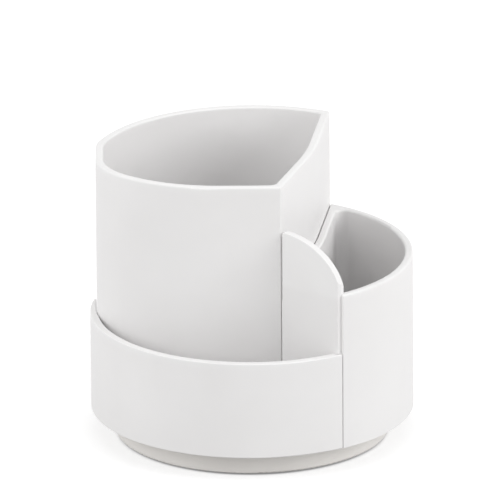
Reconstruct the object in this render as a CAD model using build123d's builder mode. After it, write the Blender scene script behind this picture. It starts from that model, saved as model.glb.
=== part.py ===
"""Rotating desk organizer: three moulded bins on a ball-bearing turntable.

The frame has its origin at the centre of the footprint, on the surface the organizer stands on.
+Z is up, -Y is the front with the low tray, and +X is the side with the pen bin. Sizes are in mm.
"""
import os
from math import asin, atan, atan2, cos, degrees, radians, sin, sqrt

from build123d import *

os.makedirs("parts", exist_ok=True)

# Sizes of the three bins together
body_radius = 78.0
wall = 3.8
floor_thickness = 3.0
seam_gap = 0.3
tray_height = 48.0
pen_height = 78.0
divider_rise = 24.8
tall_height = 125.5
skirt_lift = 13.1

# Plan of the tall bin: straight front, bowed to the left, round left corner, flat flank, bent right wall
tall_front = 43.2
tall_corner_x = 14.2
bow_radius = 72.0
bow_sweep = 41.6
left_corner_radius = 36.0
flank_inset = 3.2
flank_blend_radius = 25.0
crease_x = 30.5
crease_y = 8.7
crease_radius = 150.0
back_lean = 7.7

# Divider of the pen bin, and the lap where the tray's wall covers its outer end
divider_angle = 38.3
divider_round = 0.5
divider_corner = 1.6
divider_root = 10.0
divider_overrun = 0.6
divider_drop = 2.3
divider_end_rise = 4.9
lap_depth = 1.4
lap_round = 0.4
lap_reach = 1.5
tip_setback = 6.0
tray_upstand = 12.0
tray_floor_end = 10.0

# Rounded edges of the mouldings
rim_round = 1.0
tray_rim_round = 0.5
tray_corner_round = 0.45
tip_blend_radius = 60.0
corner_round = 0.6
inner_corner = 4.0
floor_round = 2.0

# Base shell, its plate and its feet
base_inset = 11.8
base_wall = 2.4
base_lift = 0.8
base_height = 12.4
base_round = 1.0
base_rim = 13.8
recess_depth = 4.8
hub_radius = 13.0
hub_height = 4.6
hub_thickness = 3.0
hub_cavity_radius = 10.6
plate_thickness = 2.0
plate_recess = 0.8
plate_clearance = 0.2
access_clearance = 1.0
foot_radius = 6.0
foot_pocket = 1.0
foot_inset = 8.4
foot_count = 6
foot_turn = 30.0
foot_chamfer = 0.4
post_radius = 3.6
post_circle = 28.0
post_count = 4
post_turn = 0.0

# Ball bearing between the base and the deck
ball_diameter = 5.0
ball_count = 16
ball_inset = 7.0
ball_clearance = 0.04
pocket_clearance = 0.12
groove_depth = 0.9
race_clearance = 3.0
race_width = 13.0
race_thickness = 2.0
cage_thickness = 1.6
cage_half_width = 3.8
race_screw_inset = 2.4
race_screw_count = 4
race_screw_turn = 45.0

# Turntable deck, its locating pegs and its pads
deck_thickness = 3.0
deck_clearance = 0.7
deck_round = 0.8
deck_boss_radius = 12.0
peg_radius = 3.0
peg_tip_gap = 0.4
peg_chamfer = 0.4
peg_clearance = 0.2
socket_skin = 0.9
pad_radius = 4.0
pad_thickness = 0.8
seat_gap = 0.3

# Places of the pegs and pads: distance in from the deck's edge, and direction from +X
tall_pegs = [(27.0, 149.0), (37.5, 84.0)]
pen_pegs = [(16.5, 18.5), (16.0, -29.0)]
tray_pegs = [(9.0, -122.0), (12.5, -80.5)]
tall_pads = [(17.0, 172.0), (10.5, 101.0), (43.5, -86.0)]
pen_pads = [(9.0, -5.5), (7.0, 44.0), (19.5, -48.0)]
tray_pads = [(5.2, -142.0), (10.4, -101.0), (5.4, -67.6)]

# Pivot at the centre
bolt_radius = 3.0
bolt_clearance = 0.05
bolt_head_across = 10.0
bolt_head_height = 2.4
bolt_head_clearance = 0.15
bolt_head_sink = 0.2
bolt_tail = 0.6
bush_radius = 4.5
bush_fit = 0.02
bush_flange_radius = 7.5
bush_flange = 1.0
thrust_gap = 0.3
washer_radius = 7.0
washer_thickness = 1.0
nut_across = 9.0
nut_height = 4.0
hex_sides = 6

# Countersunk screws
screw_radius = 1.1
screw_head_radius = 1.8
screw_head_height = 0.9
screw_fit = 0.02
race_screw_length = 4.2
plate_screw_length = 5.6
drive_radius = 0.7
drive_depth = 0.5

# Heights above the surface, from the feet up
plate_bottom = base_lift + plate_recess
plate_top = plate_bottom + plate_thickness
base_top = base_lift + base_height
recess_floor = base_top - recess_depth
hub_top = recess_floor + hub_height
hub_bottom = hub_top - hub_thickness
lower_race_top = recess_floor + race_thickness
ball_height = lower_race_top - groove_depth + ball_diameter / 2
upper_race_bottom = 2 * ball_height - lower_race_top
deck_bottom = upper_race_bottom + race_thickness
deck_top = deck_bottom + deck_thickness
pad_top = deck_top + pad_thickness
floor_bottom = pad_top + seat_gap
floor_top = floor_bottom + floor_thickness
socket_top = floor_top - socket_skin
peg_height = socket_top - peg_tip_gap - deck_top
pen_rim = skirt_lift + pen_height

# Radii and points that several pieces share
skirt_radius = body_radius - wall
deck_radius = skirt_radius - deck_clearance
lap_radius = body_radius - lap_depth
flank_x = body_radius - flank_inset
flank_back_y = sqrt(body_radius**2 - flank_x**2)
tray_tip = flank_back_y - tip_setback
base_radius = body_radius - base_inset
inner_radius = base_radius - base_wall
foot_circle = inner_radius - foot_inset
recess_radius = base_radius - base_rim
race_outer_radius = recess_radius - race_clearance
race_inner_radius = race_outer_radius - race_width
race_screw_circle = race_outer_radius - race_screw_inset
ball_circle = race_outer_radius - ball_inset
tall_corner = Vector(tall_corner_x, -tall_front)
crease = Vector(crease_x, crease_y)
divider_run = Vector(cos(radians(divider_angle)), -sin(radians(divider_angle)))
divider_face = Vector(-sin(radians(divider_angle)), -cos(radians(divider_angle)))
groove_radius = ball_diameter / 2 + ball_clearance
far = 2 * body_radius
snap = 0.01


def reach_circle(start, direction, radius):
    """Point where a line from start, along a unit direction, meets a circle about the origin."""
    along = start.dot(direction)
    return start + direction * (sqrt(along**2 - start.dot(start) + radius**2) - along)


def export_node(solid, name):
    """Label a finished piece and write it to its own file."""
    solid.label = name
    export_step(solid, f"parts/{name}.step")


def countersunk_screw(length):
    """Sketch of half a countersunk screw, head up, with the top of its head at the origin."""
    with BuildSketch(Plane.XZ) as half:
        with BuildLine():
            Polyline(
                (0, -drive_depth),
                (drive_radius, -drive_depth),
                (drive_radius, 0),
                (screw_head_radius, 0),
                (screw_radius, -screw_head_height),
                (screw_radius, -length),
                (0, -length),
                close=True,
            )
        make_face()
    return half.sketch


def polar_points(radius, count, turn=0.0):
    """Points spread evenly on a circle about the origin, the first one turned from +X."""
    angles = [radians(turn + 360 * step / count) for step in range(count)]
    return [(radius * cos(angle), radius * sin(angle)) for angle in angles]


def deck_points(places):
    """Points on the deck from pairs of a distance in from its edge and a direction."""
    return [polar_points(deck_radius - inset, 1, turn)[0] for inset, turn in places]


def behind_divider(shift):
    """Sketch of the area behind the divider's front face, right of the middle, moved forward by shift."""
    start = tall_corner + divider_face * shift
    with BuildSketch() as area:
        with BuildLine():
            Polyline(
                start - divider_run * (start.X / divider_run.X),
                start + divider_run * far,
                (2 * far, 2 * far),
                (0, 2 * far),
                close=True,
            )
        make_face()
    return area.sketch


# Plan of the tall bin
bow_start = flank_x - left_corner_radius - (bow_radius - left_corner_radius) * sin(radians(bow_sweep))
back_direction = Vector(sin(radians(back_lean)), cos(radians(back_lean)))
back_corner = reach_circle(crease, back_direction, body_radius)
with BuildSketch() as tall_plan:
    with BuildLine():
        front = Line(tall_corner, (-bow_start, -tall_front))
        bow = JernArc(front @ 1, front % 1, bow_radius, -bow_sweep)
        corner = JernArc(bow @ 1, bow % 1, left_corner_radius, bow_sweep - 90)
        flank = Line(corner @ 1, (-flank_x, flank_back_y))
        ThreePointArc(flank @ 1, (0, body_radius), back_corner)
        FilletPolyline(back_corner, crease, tall_corner, radius=crease_radius)
    make_face()
    fillet(tall_plan.vertices().sort_by_distance((-flank_x, flank_back_y))[0], flank_blend_radius)

# Plan of the pen bin: what is right of the tall bin and behind the divider's front face
divider_end = reach_circle(tall_corner, divider_run, lap_radius)
lap_turn = atan2(-divider_end.Y, divider_end.X) - radians(lap_reach)
lap_direction = Vector(cos(lap_turn), -sin(lap_turn))
with BuildSketch() as pen_plan:
    Circle(body_radius)
    add(behind_divider(0), mode=Mode.INTERSECT)
    offset(tall_plan.sketch, seam_gap, kind=Kind.INTERSECTION, mode=Mode.SUBTRACT)
    with BuildSketch(mode=Mode.SUBTRACT):
        Circle(far)
        Circle(lap_radius, mode=Mode.SUBTRACT)
        with BuildLine():
            Polyline((0, 0), lap_direction * far, (0, -far), close=True)
        make_face(mode=Mode.INTERSECT)

# Plan of the front tray: what the other two leave of the circle, up to its tip at the left
with BuildSketch() as tray_plan:
    Circle(body_radius)
    offset(tall_plan.sketch, seam_gap, kind=Kind.INTERSECTION, mode=Mode.SUBTRACT)
    offset(pen_plan.sketch, seam_gap, mode=Mode.SUBTRACT)
    with Locations((0, tray_tip)):
        Rectangle(far, far, align=(Align.CENTER, Align.MIN), mode=Mode.SUBTRACT)


# Tall bin: wall all round, a floor above the deck, and a skirt on the outside that hides the deck
with BuildPart() as tall_bin:
    with BuildSketch(Plane.XY.offset(skirt_lift)) as tall_outside:
        add(tall_plan.sketch)
        for end in (tall_corner, back_corner):
            fillet(tall_outside.vertices().sort_by_distance(end)[0], corner_round)
    extrude(amount=tall_height)
    with BuildSketch(Plane.XY.offset(floor_top)) as tall_inside:
        offset(tall_plan.sketch, -wall, kind=Kind.INTERSECTION)
        for end in (tall_corner, back_corner):
            fillet(tall_inside.vertices().sort_by_distance(end)[0], inner_corner)
    extrude(amount=tall_height, mode=Mode.SUBTRACT)
    with BuildSketch(Plane.XY.offset(skirt_lift)):
        Circle(skirt_radius)
        with Locations((0, tray_tip)):
            Rectangle(body_radius, far, align=(Align.MAX, Align.MAX))
    extrude(amount=floor_bottom - skirt_lift, mode=Mode.SUBTRACT)
    with BuildSketch(Plane.XY.offset(floor_bottom)):
        with Locations(*deck_points(tall_pegs)):
            Circle(peg_radius + peg_clearance)
    extrude(amount=socket_top - floor_bottom, mode=Mode.SUBTRACT)
    fillet(tall_bin.faces().sort_by(Axis.Z)[-1].edges(), rim_round)
    tall_floor = tall_bin.faces().filter_by_position(Axis.Z, floor_top - seat_gap, floor_top + seat_gap)
    fillet(tall_floor.edges(), floor_round)
export_node(tall_bin.part, "tall_bin")

# Divider of the pen bin: a plate whose top falls in an arc to a short upright end, trimmed to the bin's plan
divider_plane = Plane(origin=tall_corner, x_dir=divider_run, z_dir=divider_face)
divider_start = 2 * seam_gap
divider_length = (divider_end - tall_corner).length + divider_overrun - divider_start
arc_rise = divider_rise + divider_drop
arc_end = asin((divider_end_rise + divider_drop) / arc_rise)
with BuildSketch() as pen_outside:
    add(pen_plan.sketch)
    for end in (tall_corner, back_corner):
        fillet(pen_outside.vertices().sort_by_distance(end)[0], corner_round)
    for end in (divider_end, lap_direction * body_radius):
        fillet(pen_outside.vertices().sort_by_distance(end)[0], lap_round)
with BuildPart() as divider:
    with BuildSketch(divider_plane) as profile:
        with BuildLine():
            top = EllipticalCenterArc(
                (divider_start, pen_rim - divider_drop),
                divider_length / cos(arc_end),
                arc_rise,
                start_angle=degrees(arc_end),
                arc_size=90 - degrees(arc_end),
            )
            Polyline(
                top @ 1,
                (divider_start, pen_rim - divider_root),
                (divider_start + divider_length, pen_rim - divider_root),
                top @ 0,
            )
        make_face()
        fillet(profile.vertices().sort_by(Axis.Y)[-1], divider_corner)
    extrude(amount=-wall)
    fillet(divider.edges().filter_by(GeomType.ELLIPSE), divider_round)
    with BuildSketch(Plane.XY.offset(pen_rim - divider_root)):
        add(pen_outside.sketch)
    extrude(amount=divider_root + divider_rise, mode=Mode.INTERSECT)

# Pen bin: a cup with a rounded rim, and the divider set in the top of its front wall
with BuildPart() as pen_bin:
    with BuildSketch(Plane.XY.offset(skirt_lift)):
        add(pen_outside.sketch)
    extrude(amount=pen_height)
    with BuildSketch(Plane.XY.offset(floor_top)) as pen_inside:
        Circle(skirt_radius)
        add(behind_divider(-wall), mode=Mode.INTERSECT)
        offset(tall_plan.sketch, seam_gap + wall, kind=Kind.INTERSECTION, mode=Mode.SUBTRACT)
        for end in (tall_corner, divider_end, back_corner):
            fillet(pen_inside.vertices().sort_by_distance(end)[0], inner_corner)
    extrude(amount=pen_height, mode=Mode.SUBTRACT)
    fillet(pen_bin.faces().sort_by(Axis.Z)[-1].edges(), rim_round)
    pen_floor = pen_bin.faces().filter_by_position(Axis.Z, floor_top - seat_gap, floor_top + seat_gap)
    fillet(pen_floor.edges(), floor_round)
    with BuildSketch(divider_plane):
        with Locations((divider_start, pen_rim)):
            Rectangle(divider_length, divider_root, align=(Align.MIN, Align.MAX))
    extrude(amount=-wall, mode=Mode.SUBTRACT)
    add(divider.part)
    with BuildSketch(Plane.XY.offset(skirt_lift)):
        Circle(skirt_radius)
    extrude(amount=floor_bottom - skirt_lift, mode=Mode.SUBTRACT)
    with BuildSketch(Plane.XY.offset(floor_bottom)):
        with Locations(*deck_points(pen_pegs)):
            Circle(peg_radius + peg_clearance)
    extrude(amount=socket_top - floor_bottom, mode=Mode.SUBTRACT)
export_node(pen_bin.part, "pen_bin")

# Front tray: low outer wall, and a short upstand along the other two bins
tip_corners = [(-flank_x, tray_tip), (-body_radius, tray_tip)]
lap_corners = [lap_direction * lap_radius, lap_direction * body_radius]
with BuildSketch() as tray_wall_plan:
    add(tray_plan.sketch)
    Circle(skirt_radius, mode=Mode.SUBTRACT)
    on_skirt = tray_wall_plan.vertices().filter_by(lambda v: abs(Vector(v).length - skirt_radius) < snap)
    fillet(on_skirt.sort_by(Axis.X)[0], tip_blend_radius)
    for end in tip_corners + lap_corners:
        fillet(tray_wall_plan.vertices().sort_by_distance(end)[0], tray_corner_round)
    inner_end = reach_circle(tall_corner, divider_run, skirt_radius)
    fillet(tray_wall_plan.vertices().sort_by_distance(inner_end)[0], corner_round)
with BuildPart() as front_tray:
    with BuildSketch(Plane.XY.offset(skirt_lift)):
        add(tray_wall_plan.sketch)
    extrude(amount=tray_height)
    fillet(front_tray.faces().sort_by(Axis.Z)[-1].edges(), tray_rim_round)
    fillet(front_tray.faces().sort_by(Axis.Z)[0].edges(), tray_rim_round)
    with BuildSketch(Plane.XY.offset(floor_bottom)):
        add(tray_plan.sketch)
        Circle(skirt_radius + wall / 2, mode=Mode.INTERSECT)
        with Locations((0, -tray_floor_end)):
            Rectangle(far, far, align=(Align.CENTER, Align.MIN), mode=Mode.SUBTRACT)
    extrude(amount=floor_thickness + tray_upstand)
    with BuildSketch(Plane.XY.offset(floor_top)) as tray_inside:
        Circle(skirt_radius)
        offset(tall_plan.sketch, seam_gap + wall, mode=Mode.SUBTRACT)
        add(behind_divider(seam_gap + wall), mode=Mode.SUBTRACT)
    extrude(amount=tray_upstand, mode=Mode.SUBTRACT)
    with BuildSketch(Plane.XY.offset(floor_bottom)):
        with Locations(*deck_points(tray_pegs)):
            Circle(peg_radius + peg_clearance)
    extrude(amount=socket_top - floor_bottom, mode=Mode.SUBTRACT)
export_node(front_tray.part, "front_tray")

# Turntable deck: disc with a boss at the centre, pegs for the bins and a socket for the bolt's head
boss_bottom = hub_top + bush_flange + thrust_gap
bolt_seat = deck_top - bolt_head_sink - bolt_head_height
race_screw_points = polar_points(race_screw_circle, race_screw_count, race_screw_turn)
with BuildPart() as turntable_deck:
    with BuildSketch(Plane.XY.offset(deck_bottom)):
        Circle(deck_radius)
    extrude(amount=deck_thickness)
    fillet(turntable_deck.edges().group_by(Axis.Z)[-1], deck_round)
    with BuildSketch(Plane.XY.offset(boss_bottom)):
        Circle(deck_boss_radius)
    extrude(amount=deck_bottom - boss_bottom)
    with BuildSketch(Plane.XY.offset(deck_top)):
        with Locations(*deck_points(tall_pegs + pen_pegs + tray_pegs)):
            Circle(peg_radius)
    extrude(amount=peg_height)
    chamfer(turntable_deck.edges().group_by(Axis.Z)[-1], peg_chamfer)
    with BuildSketch(Plane.XY.offset(bolt_seat)):
        RegularPolygon(bolt_head_across / 2 + bolt_head_clearance, hex_sides, major_radius=False)
    extrude(amount=deck_top - bolt_seat, mode=Mode.SUBTRACT)
    with BuildSketch(Plane.XY.offset(boss_bottom)):
        Circle(bolt_radius + bolt_clearance)
    extrude(amount=deck_top - boss_bottom, mode=Mode.SUBTRACT)
    with BuildSketch(Plane.XY.offset(deck_bottom)):
        with Locations(*race_screw_points):
            Circle(screw_radius + screw_fit)
    extrude(amount=race_screw_length - race_thickness + screw_fit, mode=Mode.SUBTRACT)
export_node(turntable_deck.part, "turntable_deck")

# Seat pads: thin discs stuck on the deck, three under each bin
with BuildPart() as bin_seat_pads:
    with BuildSketch(Plane.XY.offset(deck_top)):
        with Locations(*deck_points(tall_pads + pen_pads + tray_pads)):
            Circle(pad_radius)
    extrude(amount=pad_thickness)
export_node(bin_seat_pads.part, "bin_seat_pads")


def bearing_race(low, high, screw_plane):
    """Ring from low to high with the balls' groove, and countersunk holes entered from screw_plane."""
    with BuildPart() as race:
        with BuildSketch(Plane.XZ):
            with Locations((race_inner_radius, low)):
                Rectangle(race_outer_radius - race_inner_radius, high - low, align=(Align.MIN, Align.MIN))
            with Locations((ball_circle, ball_height)):
                Circle(groove_radius, mode=Mode.SUBTRACT)
        revolve(axis=Axis.Z)
        with Locations(screw_plane):
            with Locations(*race_screw_points):
                CounterSinkHole(
                    screw_radius + screw_fit,
                    screw_head_radius + screw_fit,
                    counter_sink_angle=head_angle,
                )
    return race.part


def screw_set(points, plane, length):
    """Countersunk screws at points on a plane, with their heads flush with it and their shanks below it."""
    with BuildPart() as screw:
        add(countersunk_screw(length))
        revolve(axis=Axis.Z)
    with BuildPart() as screws:
        with Locations(plane):
            with Locations(*points):
                add(screw.part)
    return screws.part


# Ball bearing: two grooved rings, and a cage that spaces the balls between them
head_angle = 2 * degrees(atan((screw_head_radius - screw_radius) / screw_head_height))
lower_plane = Plane.XY.offset(lower_race_top)
upper_plane = Plane(origin=(0, 0, upper_race_bottom), x_dir=(1, 0, 0), z_dir=(0, 0, -1))
export_node(bearing_race(recess_floor, lower_race_top, lower_plane), "lower_race")
export_node(bearing_race(upper_race_bottom, deck_bottom, upper_plane), "upper_race")
export_node(screw_set(race_screw_points, lower_plane, race_screw_length), "lower_race_screws")
export_node(screw_set(race_screw_points, upper_plane, race_screw_length), "upper_race_screws")

with BuildPart() as bearing_balls:
    with Locations(Plane.XY.offset(ball_height)):
        with PolarLocations(ball_circle, ball_count):
            Sphere(ball_diameter / 2)
export_node(bearing_balls.part, "bearing_balls")

with BuildPart() as ball_cage:
    with BuildSketch(Plane.XY.offset(ball_height - cage_thickness / 2)):
        Circle(ball_circle + cage_half_width)
        Circle(ball_circle - cage_half_width, mode=Mode.SUBTRACT)
        with PolarLocations(ball_circle, ball_count):
            Circle(ball_diameter / 2 + pocket_clearance, mode=Mode.SUBTRACT)
    extrude(amount=cage_thickness)
export_node(ball_cage.part, "ball_cage")

# Base shell: a turned shape with a recess for the bearing, a hub for the pivot and posts for the plate
shelf_bottom = base_top - base_wall
recess_underside = recess_floor - base_wall
post_points = polar_points(post_circle, post_count, post_turn)
with BuildPart() as base_shell:
    with BuildSketch(Plane.XZ):
        with BuildLine():
            Polyline(
                (base_radius, base_lift),
                (base_radius, base_top),
                (recess_radius, base_top),
                (recess_radius, recess_floor),
                (hub_radius, recess_floor),
                (hub_radius, hub_top),
                (bush_radius + bush_fit, hub_top),
                (bush_radius + bush_fit, hub_bottom),
                (hub_cavity_radius, hub_bottom),
                (hub_cavity_radius, recess_underside),
                (recess_radius + base_wall, recess_underside),
                (recess_radius + base_wall, shelf_bottom),
                (inner_radius, shelf_bottom),
                (inner_radius, base_lift),
                close=True,
            )
        make_face()
    revolve(axis=Axis.Z)
    outer_edges = base_shell.edges().filter_by(GeomType.CIRCLE).sort_by(SortBy.RADIUS)[-2:]
    fillet(outer_edges, base_round)
    with BuildSketch(Plane.XY.offset(plate_top)):
        with Locations(*post_points):
            Circle(post_radius)
    extrude(amount=recess_underside - plate_top)
    with BuildSketch(Plane.XY.offset(plate_top)):
        with Locations(*post_points):
            Circle(screw_radius + screw_fit)
    extrude(amount=plate_screw_length - plate_thickness + screw_fit, mode=Mode.SUBTRACT)
    with BuildSketch(Plane.XY.offset(lower_race_top - race_screw_length - screw_fit)):
        with Locations(*race_screw_points):
            Circle(screw_radius + screw_fit)
    extrude(amount=race_screw_length, mode=Mode.SUBTRACT)
export_node(base_shell.part, "base_shell")

# Base plate with a hole to reach the pivot nut, its screws, and the feet in its pockets
plate_plane = Plane(origin=(0, 0, plate_bottom), x_dir=(1, 0, 0), z_dir=(0, 0, -1))
mirrored_posts = [(x, -y) for x, y in post_points]
foot_points = polar_points(foot_circle, foot_count, foot_turn)
with BuildPart() as base_plate:
    with BuildSketch(Plane.XY.offset(plate_bottom)):
        Circle(inner_radius - plate_clearance)
        Circle(washer_radius + access_clearance, mode=Mode.SUBTRACT)
    extrude(amount=plate_thickness)
    with BuildSketch(Plane.XY.offset(plate_bottom)):
        with Locations(*foot_points):
            Circle(foot_radius + plate_clearance)
    extrude(amount=foot_pocket, mode=Mode.SUBTRACT)
    with Locations(plate_plane):
        with Locations(*mirrored_posts):
            CounterSinkHole(
                screw_radius + screw_fit,
                screw_head_radius + screw_fit,
                counter_sink_angle=head_angle,
            )
export_node(base_plate.part, "base_plate")
export_node(screw_set(mirrored_posts, plate_plane, plate_screw_length), "base_plate_screws")

with BuildPart() as non_slip_feet:
    with BuildSketch():
        with Locations(*foot_points):
            Circle(foot_radius)
    extrude(amount=plate_bottom + foot_pocket)
    chamfer(non_slip_feet.edges().group_by(Axis.Z)[0], foot_chamfer)
export_node(non_slip_feet.part, "non_slip_feet")

# Pivot: a bolt held by the deck, turning in a flanged bush in the hub, with a washer and a nut below
washer_top = hub_bottom - thrust_gap
nut_top = washer_top - washer_thickness
nut_bottom = nut_top - nut_height
with BuildPart() as pivot_bush:
    with BuildSketch(Plane.XY.offset(hub_bottom)):
        Circle(bush_radius)
    extrude(amount=hub_thickness)
    with BuildSketch(Plane.XY.offset(hub_top)):
        Circle(bush_flange_radius)
    extrude(amount=bush_flange)
    with BuildSketch(Plane.XY.offset(hub_bottom)):
        Circle(bolt_radius + bolt_clearance)
    extrude(amount=hub_thickness + bush_flange, mode=Mode.SUBTRACT)
export_node(pivot_bush.part, "pivot_bush")

with BuildPart() as pivot_bolt:
    with BuildSketch(Plane.XY.offset(nut_bottom - bolt_tail)):
        Circle(bolt_radius)
    extrude(amount=bolt_seat + bolt_tail - nut_bottom)
    with BuildSketch(Plane.XY.offset(bolt_seat)):
        RegularPolygon(bolt_head_across / 2, hex_sides, major_radius=False)
    extrude(amount=bolt_head_height)
export_node(pivot_bolt.part, "pivot_bolt")

with BuildPart() as thrust_washer:
    with BuildSketch(Plane.XY.offset(nut_top)):
        Circle(washer_radius)
        Circle(bolt_radius + bolt_clearance, mode=Mode.SUBTRACT)
    extrude(amount=washer_thickness)
export_node(thrust_washer.part, "thrust_washer")

with BuildPart() as pivot_lock_nut:
    with BuildSketch(Plane.XY.offset(nut_bottom)):
        RegularPolygon(nut_across / 2, hex_sides, major_radius=False)
        Circle(bolt_radius + screw_fit, mode=Mode.SUBTRACT)
    extrude(amount=nut_height)
export_node(pivot_lock_nut.part, "pivot_lock_nut")
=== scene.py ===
"""Looks of a rotating desk organizer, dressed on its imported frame. Metres, +Z up, -Y towards the front."""
import math

import bpy
import numpy as np
from mathutils import Matrix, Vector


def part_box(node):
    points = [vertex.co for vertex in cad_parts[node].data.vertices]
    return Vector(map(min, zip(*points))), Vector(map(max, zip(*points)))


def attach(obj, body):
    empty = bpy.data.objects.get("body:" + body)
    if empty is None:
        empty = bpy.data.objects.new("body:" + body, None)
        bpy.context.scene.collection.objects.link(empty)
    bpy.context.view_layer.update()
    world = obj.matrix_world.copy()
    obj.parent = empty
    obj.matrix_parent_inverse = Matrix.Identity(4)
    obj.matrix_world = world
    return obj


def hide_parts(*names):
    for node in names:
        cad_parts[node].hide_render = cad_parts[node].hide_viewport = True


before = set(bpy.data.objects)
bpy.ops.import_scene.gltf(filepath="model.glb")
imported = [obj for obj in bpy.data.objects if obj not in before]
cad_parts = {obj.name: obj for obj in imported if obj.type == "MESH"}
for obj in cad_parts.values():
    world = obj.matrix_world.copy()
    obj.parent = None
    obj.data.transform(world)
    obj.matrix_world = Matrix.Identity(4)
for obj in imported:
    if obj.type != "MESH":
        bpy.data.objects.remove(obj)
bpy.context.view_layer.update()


# Non-slip feet
# Discs of black moulded rubber, pushed into round pockets under the base plate. Each stands on a ring around
# a shallow cup, and its lower edge is rounded. One of them lies on +Y, so their box gives their circle.
foot_count = 6
foot_radius = 0.006
foot_height = 0.0026
foot_cup_radius = 0.0042
foot_cup_depth = 0.0003
foot_edge_round = 0.0006
foot_top_bevel = 0.0002
foot_cap_radius = 0.0004
foot_steps = 48
foot_turns = np.radians(360 / foot_count * (np.arange(foot_count) + 0.5))
foot_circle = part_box("non_slip_feet")[1].y - foot_radius
foot_centres = foot_circle * np.stack([np.cos(foot_turns), np.sin(foot_turns)], axis=-1)


def turned_mesh(name, radius, height, centres, steps):
    """Mesh of a profile turned about upright axes, with one copy at each centre (cx, cy).

    Point (u, v) lies at x = cx + radius(v) cos u, y = cy + radius(v) sin u, z = height(v), with u round the
    full turn and v along the profile. The first and last rings are closed by flat caps.
    """
    turn = 2 * np.pi * np.arange(steps) / steps
    around = np.stack([np.cos(turn), np.sin(turn)], axis=-1)
    flat = centres[:, None, None, :] + radius[None, :, None, None] * around[None, None]
    level = np.broadcast_to(height[None, :, None, None], flat.shape[:3] + (1,))
    points = np.concatenate([flat, level], axis=-1).reshape(-1, 3)
    rings = len(radius)
    here = np.arange(rings - 1)[:, None] * steps + np.arange(steps)
    there = np.arange(rings - 1)[:, None] * steps + np.roll(np.arange(steps), -1)
    quads = np.stack([here, there, there + steps, here + steps], axis=-1).reshape(-1, 4)
    caps = np.stack([np.arange(steps)[::-1], (rings - 1) * steps + np.arange(steps)])
    first = rings * steps * np.arange(len(centres))[:, None, None]
    faces = (first + quads).reshape(-1, 4).tolist() + (first + caps).reshape(-1, steps).tolist()
    mesh = bpy.data.meshes.new(name)
    mesh.from_pydata(points.tolist(), [], faces)
    mesh.shade_smooth()
    return mesh


# Profile from the middle of the cup outwards: the cup's height falls as a squared cosine to the standing
# ring, a quarter circle turns the lower edge upright, and a small bevel leads onto the flat top.
cup_out = np.linspace(foot_cap_radius, foot_cup_radius, 10)
edge_turn = np.linspace(0, np.pi / 2, 8)
foot_profile_radius = np.concatenate([
    cup_out,
    foot_radius - foot_edge_round * (1 - np.sin(edge_turn)),
    [foot_radius, foot_radius - foot_top_bevel, foot_cap_radius],
])
foot_profile_height = np.concatenate([
    foot_cup_depth * np.cos(np.pi / 2 * cup_out / foot_cup_radius) ** 2,
    foot_edge_round * (1 - np.cos(edge_turn)),
    [foot_height - foot_top_bevel, foot_height, foot_height],
])
foot_mesh = turned_mesh("rubber_feet", foot_profile_radius, foot_profile_height, foot_centres, foot_steps)
feet = bpy.data.objects.new("rubber_feet", foot_mesh)
bpy.context.scene.collection.objects.link(feet)
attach(feet, "base")
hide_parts("non_slip_feet")


def feed(tree, node, inputs):
    """Gives each named input of a node a value, or links it to a socket."""
    for label, value in inputs.items():
        if isinstance(value, bpy.types.NodeSocket):
            tree.links.new(value, node.inputs[label])
        else:
            node.inputs[label].default_value = value


def put(tree, kind, inputs=None, **settings):
    """Node of a kind placed in a tree, with its properties set and its inputs fed."""
    node = tree.nodes.new(kind)
    for label, value in settings.items():
        setattr(node, label, value)
    feed(tree, node, inputs or {})
    return node


def maths(tree, operation, *values):
    """Result of one sum on numbers or sockets."""
    return put(tree, "ShaderNodeMath", dict(enumerate(values)), operation=operation).outputs[0]


def mix_number(tree, share, low, high):
    """Number that goes from low to high as share goes from 0 to 1."""
    return put(tree, "ShaderNodeMix", {0: share, 2: low, 3: high}, data_type="FLOAT").outputs[0]


def mix_colour(tree, share, low, high):
    """Colour that goes from low to high as share goes from 0 to 1."""
    return put(tree, "ShaderNodeMix", {0: share, 6: low, 7: high}, data_type="RGBA").outputs[2]


def spread(tree, value, low, high, to_low=0.0, to_high=1.0):
    """Value carried smoothly from the span low to high onto the span to_low to to_high."""
    limits = {"Value": value, "From Min": low, "From Max": high, "To Min": to_low, "To Max": to_high}
    return put(tree, "ShaderNodeMapRange", limits, interpolation_type="SMOOTHSTEP").outputs["Result"]


def object_place(tree):
    """Place on a piece in the object's own coordinates."""
    return put(tree, "ShaderNodeTexCoord").outputs["Object"]


def noise_of_size(tree, place, size, detail):
    """Cloud noise whose lumps are about size metres across."""
    scale = maths(tree, "DIVIDE", 1.0, size)
    return put(tree, "ShaderNodeTexNoise", {"Vector": place, "Scale": scale, "Detail": detail}).outputs["Fac"]


def relief_normal(tree, height, depth):
    """Normal of a surface that rises and falls with height, over depth metres."""
    return put(tree, "ShaderNodeBump", {"Distance": depth, "Height": height}).outputs["Normal"]


def new_group(name, inputs, outputs):
    """Shader node group with number inputs and outputs.

    Returns the group, the sockets of its inputs by name, and the node that takes its results.
    """
    group = bpy.data.node_groups.new(name, "ShaderNodeTree")
    for label, value in inputs.items():
        socket = group.interface.new_socket(label, in_out="INPUT", socket_type="NodeSocketFloat")
        socket.default_value = value
    for label in outputs:
        group.interface.new_socket(label, in_out="OUTPUT", socket_type="NodeSocketFloat")
    return group, put(group, "NodeGroupInput").outputs, put(group, "NodeGroupOutput")


def new_material(name):
    """Material with nodes, its tree and its shader."""
    material = bpy.data.materials.new(name)
    material.use_nodes = True
    return material, material.node_tree, material.node_tree.nodes["Principled BSDF"]


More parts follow.
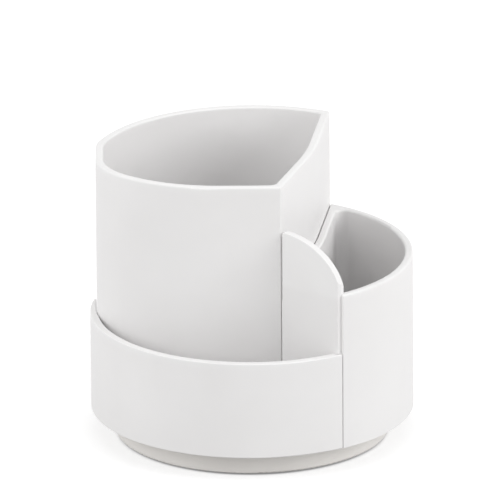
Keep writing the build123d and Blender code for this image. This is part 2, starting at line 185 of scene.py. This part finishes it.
# The skin that a moulding takes from its steel mould: fine even grain, broad drifts of tone, and a slow
# swell. Cloud noise lies mostly between noise_low and noise_high.
grain_in_gloss = 0.35
drift_in_swell = 0.3
noise_low, noise_high = 0.3, 0.7
moulded_skin, given, skin_out = new_group(
    "moulded_skin",
    {"Grain Size": 0.0006, "Drift Size": 0.03, "Rough Low": 0.4, "Rough High": 0.5},
    ["Tone", "Roughness", "Height"],
)
skin_place = object_place(moulded_skin)
grain = noise_of_size(moulded_skin, skin_place, given["Grain Size"], 2.0)
drift = noise_of_size(moulded_skin, skin_place, given["Drift Size"], 3.0)
gloss = mix_number(moulded_skin, grain_in_gloss, drift, grain)
feed(moulded_skin, skin_out, {
    "Tone": spread(moulded_skin, drift, noise_low, noise_high),
    "Roughness": spread(moulded_skin, gloss, noise_low, noise_high, given["Rough Low"], given["Rough High"]),
    "Height": mix_number(moulded_skin, drift_in_swell, grain, drift),
})


def moulded_material(name, deep, pale, rough, relief, grain_size, drift_size):
    """Moulded material whose colour drifts from deep to pale, with the mould's grain in gloss and relief."""
    material, tree, shader = new_material(name)
    sizes = {"Grain Size": grain_size, "Drift Size": drift_size}
    span = {"Rough Low": rough[0], "Rough High": rough[1]}
    skin = put(tree, "ShaderNodeGroup", sizes | span, node_tree=moulded_skin).outputs
    feed(tree, shader, {
        "Base Color": mix_colour(tree, skin["Tone"], (*deep, 1), (*pale, 1)),
        "Roughness": skin["Roughness"],
        "Normal": relief_normal(tree, skin["Height"], relief),
    })
    return material


foot_rubber = moulded_material(
    "foot_rubber", (0.018, 0.018, 0.019), (0.034, 0.033, 0.032), rough=(0.62, 0.82), relief=0.00006,
    grain_size=0.0004, drift_size=0.004,
)
feet.data.materials.append(foot_rubber)


# Base plate
# Flat moulded disc of off-white plastic that closes the base from below. It is held by screws and carries
# the feet.
def wear(node, material):
    """Gives a CAD node a finish in place of its packed one."""
    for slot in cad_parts[node].material_slots:
        slot.material = material


# Its tone is warmer than the bins' white: painted warm bounce light, standing in for the shade under the
# bins.
base_white_painted_bounce = moulded_material(
    "base_white_painted_bounce", (0.79, 0.766, 0.736), (0.815, 0.794, 0.766), rough=(0.4, 0.52), relief=0.00003,
    grain_size=0.0007, drift_size=0.045,
)
wear("base_plate", base_white_painted_bounce)


# Base shell
# Round moulded base in the same off-white plastic, with a recess for the bearing and a hub for the pivot.
# It stays still on the desk while the bins turn over it.
wear("base_shell", base_white_painted_bounce)


# Screws, pivot bolt and lock nut
# Small zinc-plated steel fasteners. They join the base, the bearing and the deck. The plating is pale and a
# little cloudy.
plating_relief = 0.00001
plating_rough_low, plating_rough_high = 0.22, 0.42
plated_cloud, given, cloud_out = new_group(
    "plated_cloud", {"Cloud Size": 0.0015}, ["Tone", "Roughness", "Height"]
)
cloud = noise_of_size(plated_cloud, object_place(plated_cloud), given["Cloud Size"], 4.0)
feed(plated_cloud, cloud_out, {
    "Tone": spread(plated_cloud, cloud, 0.35, 0.65),
    "Roughness": spread(plated_cloud, cloud, noise_low, noise_high, plating_rough_low, plating_rough_high),
    "Height": cloud,
})


def plated_material(name, deep, pale, cloud_size, polish=None):
    """Metal whose tone, gloss and relief follow the cloudy plating, or its tone alone over an even polish."""
    material, tree, shader = new_material(name)
    plating = put(tree, "ShaderNodeGroup", {"Cloud Size": cloud_size}, node_tree=plated_cloud).outputs
    tone = mix_colour(tree, plating["Tone"], (*deep, 1), (*pale, 1))
    feed(tree, shader, {"Metallic": 1.0, "Base Color": tone})
    if polish is None:
        cloudy = relief_normal(tree, plating["Height"], plating_relief)
        feed(tree, shader, {"Roughness": plating["Roughness"], "Normal": cloudy})
    else:
        feed(tree, shader, {"Roughness": polish})
    return material


zinc_plating = plated_material("zinc_plating", (0.5, 0.5, 0.52), (0.66, 0.66, 0.67), cloud_size=0.0012)
for screws in ("base_plate_screws", "lower_race_screws", "upper_race_screws"):
    wear(screws, zinc_plating)
wear("pivot_bolt", zinc_plating)
wear("pivot_lock_nut", zinc_plating)


# Pivot bush, thrust washer and ball cage
# Turned and moulded rings of natural acetal, a waxy off-white plastic that runs well on steel without oil.
acetal = moulded_material(
    "natural_acetal", (0.66, 0.64, 0.59), (0.71, 0.69, 0.65), rough=(0.3, 0.4), relief=0.00001,
    grain_size=0.0003, drift_size=0.008,
)
waxy = {"Subsurface Weight": 0.15, "Subsurface Scale": 0.001}
feed(acetal.node_tree, acetal.node_tree.nodes["Principled BSDF"], waxy)
for ring in ("pivot_bush", "thrust_washer", "ball_cage"):
    wear(ring, acetal)


# Bearing races
# Two pressed and turned steel rings with a groove for the balls, screwed to the base and to the deck. The
# cutting tool leaves fine rings about the centre.
tool_pitch = 0.0004
tool_depth = 0.000004
race_steel = plated_material("race_steel", (0.52, 0.52, 0.53), (0.66, 0.65, 0.65), cloud_size=0.003)
race_tree = race_steel.node_tree
race_shader = race_tree.nodes["Principled BSDF"]
across = {0: object_place(race_tree), 1: (1, 1, 0)}
flattened = put(race_tree, "ShaderNodeVectorMath", across, operation="MULTIPLY").outputs[0]
race_radius = put(race_tree, "ShaderNodeVectorMath", {0: flattened}, operation="LENGTH").outputs["Value"]
tool_wave = maths(race_tree, "SINE", maths(race_tree, "MULTIPLY", race_radius, 2 * math.pi / tool_pitch))
plated_normal = race_shader.inputs["Normal"].links[0].from_socket
turned = {"Distance": tool_depth, "Height": tool_wave, "Normal": plated_normal}
feed(race_tree, race_shader, {"Normal": put(race_tree, "ShaderNodeBump", turned).outputs["Normal"]})
for race in ("lower_race", "upper_race"):
    wear(race, race_steel)


# Bearing balls
# Polished steel balls that carry the turntable between the two races, spaced by the cage.
ball_steel = plated_material(
    "ball_steel", (0.6, 0.6, 0.62), (0.64, 0.64, 0.65), cloud_size=0.002, polish=0.08
)
wear("bearing_balls", ball_steel)


# Turntable deck and seat pads
# Moulded disc that turns on the bearing and carries the bins on its pegs. Thin grey foam-rubber discs are
# stuck to it so that the bins sit without rattling.
# The deck takes the base's warmer white, with its painted warm bounce light.
wear("turntable_deck", base_white_painted_bounce)
pad_foam = moulded_material(
    "pad_foam", (0.2, 0.2, 0.195), (0.27, 0.27, 0.26), rough=(0.8, 0.95), relief=0.00012,
    grain_size=0.0005, drift_size=0.003,
)
wear("bin_seat_pads", pad_foam)


# Tall bin
# The high bin at the back and left, moulded in satin white plastic with one open top. It lifts off the deck's
# pegs. Hands have made its rim a little glossier, the rim's colour is painted a little paler as a painted
# highlight, and fine dust lies on its floor.
bin_deep = (0.785, 0.776, 0.773)
bin_pale = (0.81, 0.802, 0.8)
bin_specular = 0.2
# Paler colour near the rims: a painted highlight for the light that falls on them from above.
rim_painted_highlight = (0.82, 0.815, 0.812, 1)
rim_rough = 0.28
rim_patch_size = 0.02
dust_grey = (0.5, 0.47, 0.43, 1)
dust_rough = 0.9
dust_weight = 0.12
dust_speck_size = 0.003


def upward(tree, vector):
    """Upright share of a vector."""
    return put(tree, "ShaderNodeSeparateXYZ", {0: vector}).outputs["Z"]


# Mask near each rim: it makes the rim glossier from handling and paints a paler highlight into its colour.
rim_polish_and_highlight, given, rim_out = new_group("rim_polish_and_highlight", {"Rim Height": 0.1, "Reach": 0.004}, ["Mask"])
rim_place = object_place(rim_polish_and_highlight)
below_rim = maths(rim_polish_and_highlight, "SUBTRACT", given["Rim Height"], upward(rim_polish_and_highlight, rim_place))
rim_near = spread(rim_polish_and_highlight, maths(rim_polish_and_highlight, "DIVIDE", below_rim, given["Reach"]), 0.0, 1.0, 1.0, 0.0)
rim_noise = noise_of_size(rim_polish_and_highlight, rim_place, rim_patch_size, 3.0)
rim_patches = spread(rim_polish_and_highlight, rim_noise, noise_low, noise_high, 0.4, 1.0)
feed(rim_polish_and_highlight, rim_out, {"Mask": maths(rim_polish_and_highlight, "MULTIPLY", rim_near, rim_patches)})

settled_dust, given, dust_out = new_group("settled_dust", {"Floor Height": 0.0227, "Fade": 0.012}, ["Mask"])
dust_place = object_place(settled_dust)
above_floor = maths(settled_dust, "SUBTRACT", upward(settled_dust, dust_place), given["Floor Height"])
dust_low = spread(settled_dust, maths(settled_dust, "DIVIDE", above_floor, given["Fade"]), 0.0, 1.0, 1.0, 0.0)
facing = put(settled_dust, "ShaderNodeNewGeometry").outputs["Normal"]
facing_up = spread(settled_dust, upward(settled_dust, facing), 0.2, 0.9)
dust_specks = spread(settled_dust, noise_of_size(settled_dust, dust_place, dust_speck_size, 6.0), 0.4, 0.75)
dust_lying = maths(settled_dust, "MULTIPLY", facing_up, dust_low)
feed(settled_dust, dust_out, {"Mask": maths(settled_dust, "MULTIPLY", dust_lying, dust_specks)})


def bin_plastic(name, rim_height):
    """Satin white plastic of a bin: mould grain and drift, a rim glossier from hands and painted paler as a
    highlight, and dust on the floor.
    """
    material = moulded_material(
        name, bin_deep, bin_pale, rough=(0.38, 0.48), relief=0.00003, grain_size=0.0007, drift_size=0.05
    )
    tree = material.node_tree
    shader = tree.nodes["Principled BSDF"]
    drifting = shader.inputs["Base Color"].links[0].from_socket
    grained = shader.inputs["Roughness"].links[0].from_socket
    rim = put(tree, "ShaderNodeGroup", {"Rim Height": rim_height}, node_tree=rim_polish_and_highlight).outputs["Mask"]
    dust = put(tree, "ShaderNodeGroup", node_tree=settled_dust).outputs["Mask"]
    dusty = maths(tree, "MULTIPLY", dust, dust_weight)
    feed(tree, shader, {
        # The rim mask paints a paler highlight into the colour, and lowers the roughness there.
        "Base Color": mix_colour(tree, dusty, mix_colour(tree, rim, drifting, rim_painted_highlight), dust_grey),
        "Roughness": mix_number(tree, dusty, mix_number(tree, rim, grained, rim_rough), dust_rough),
        "Specular IOR Level": bin_specular,
    })
    return material


wear("tall_bin", bin_plastic("tall_bin_white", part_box("tall_bin")[1].z))


# Pen bin
# The bin at the right, lower than the tall one and moulded in the same white. Its front wall rises above the
# rim as a divider, whose top falls in an arc to a short upright end.
pen_rim_height = 0.0911
wear("pen_bin", bin_plastic("pen_bin_white", pen_rim_height))


# Front tray
# The low bin at the front, in the same white plastic. Its wall hooks around the tall bin at the left and laps
# the end of the divider at the right.
wear("front_tray", bin_plastic("front_tray_white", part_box("front_tray")[1].z))


# Studio
# A plain pale floor that keeps the object's shadow, a white surround, and three soft lamps. The floor glows
# only where it is seen directly, and less under the base, which paints a dark shadow line at the base's edge.
floor_half_width = 3.0
floor_cells = 12
paper_pale = 0.55
paper_rough = 0.9
# Weaker glow under the base: a painted shadow line where the base meets the floor.
glow_under_base = 0.16
glow_in_open = 0.57
glow_starts_inside = 0.002
glow_full_outside = 0.0005
surround_light = 0.755
lamp_target = (0, 0, 0.07)


def seen_directly(tree):
    """1 where a ray comes from the camera, a mirror or glass, and 0 for light that falls on things."""
    rays = put(tree, "ShaderNodeLightPath").outputs
    mirror = maths(tree, "MAXIMUM", rays["Is Camera Ray"], rays["Is Glossy Ray"])
    return maths(tree, "MAXIMUM", mirror, rays["Is Transmission Ray"])


floor_line = np.linspace(-floor_half_width, floor_half_width, floor_cells + 1)
floor_x, floor_y = np.meshgrid(floor_line, floor_line)
floor_points = np.stack([floor_x, floor_y, np.zeros_like(floor_x)], axis=-1).reshape(-1, 3)
floor_row = floor_cells + 1
corner = (np.arange(floor_cells)[:, None] * floor_row + np.arange(floor_cells)).ravel()
floor_faces = np.stack([corner, corner + 1, corner + floor_row + 1, corner + floor_row], axis=-1)
floor_mesh = bpy.data.meshes.new("studio_floor")
floor_mesh.from_pydata(floor_points.tolist(), [], floor_faces.tolist())
floor = bpy.data.objects.new("studio_floor", floor_mesh)
bpy.context.scene.collection.objects.link(floor)

base_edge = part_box("base_shell")[1].x
paper, paper_tree, paper_shader = new_material("studio_paper")
feed(paper_tree, paper_shader, {
    "Base Color": (paper_pale, paper_pale, paper_pale, 1),
    "Roughness": paper_rough,
    "Specular IOR Level": 0.0,
})
from_centre = {0: object_place(paper_tree)}
paper_radius = put(paper_tree, "ShaderNodeVectorMath", from_centre, operation="LENGTH").outputs["Value"]
# The glow falls off under the base, painting a dark shadow line at its lower edge.
glow = spread(
    paper_tree, paper_radius, base_edge - glow_starts_inside, base_edge + glow_full_outside,
    glow_under_base, glow_in_open,
)
seen_glow = maths(paper_tree, "MULTIPLY", seen_directly(paper_tree), glow)
paper_light = put(paper_tree, "ShaderNodeEmission", {"Strength": seen_glow}).outputs[0]
paper_sum = put(paper_tree, "ShaderNodeAddShader", {0: paper_shader.outputs[0], 1: paper_light}).outputs[0]
feed(paper_tree, paper_tree.nodes["Material Output"], {"Surface": paper_sum})
floor.data.materials.append(paper)

surround = bpy.data.worlds.new("studio_surround")
surround.use_nodes = True
bpy.context.scene.world = surround
sky = surround.node_tree
ambient = put(sky, "ShaderNodeBackground", {"Color": (1, 1, 1, 1), "Strength": surround_light}).outputs[0]
backdrop = put(sky, "ShaderNodeBackground", {"Color": (1, 1, 1, 1), "Strength": 1.0}).outputs[0]
chosen = put(sky, "ShaderNodeMixShader", {0: seen_directly(sky), 1: ambient, 2: backdrop}).outputs[0]
feed(sky, sky.nodes["World Output"], {"Surface": chosen})


def soft_lamp(name, place, size, power):
    """Square area lamp at a place, turned to face the middle of the object."""
    lamp = bpy.data.lights.new(name, "AREA")
    lamp.size = size
    lamp.energy = power
    holder = bpy.data.objects.new(name, lamp)
    bpy.context.scene.collection.objects.link(holder)
    away = np.array(place) - np.array(lamp_target)
    holder.location = place
    holder.rotation_euler = (math.acos(away[2] / np.linalg.norm(away)), 0, math.atan2(away[0], -away[1]))


soft_lamp("lamp_above", (0.1, -0.45, 1.55), size=1.4, power=2.0)
soft_lamp("lamp_right", (1.68, -0.76, 0.86), size=1.0, power=16.8)
soft_lamp("lamp_left", (-1.67, -0.82, 0.92), size=1.0, power=13.4)


# Camera
# A long lens from the front and a little above, as in the photograph, with a very slight roll.
aim = np.array([-0.0006, 0.0, 0.0914])
elevation = math.radians(19.7)
roll = math.radians(-0.38)
distance = 8.0
view_width = 0.2412
lens = bpy.data.cameras.new("photo_camera")
lens.sensor_width = 36.0
lens.lens = lens.sensor_width * distance / view_width
camera = bpy.data.objects.new("photo_camera", lens)
bpy.context.scene.collection.objects.link(camera)
camera.location = aim + distance * np.array([0, -math.cos(elevation), math.sin(elevation)])
tilt = Matrix.Rotation(math.pi / 2 - elevation, 3, "X")
camera.rotation_euler = (tilt @ Matrix.Rotation(roll, 3, "Z")).to_euler()
bpy.context.scene.camera = camera
bpy.context.scene.view_settings.view_transform = "Standard"
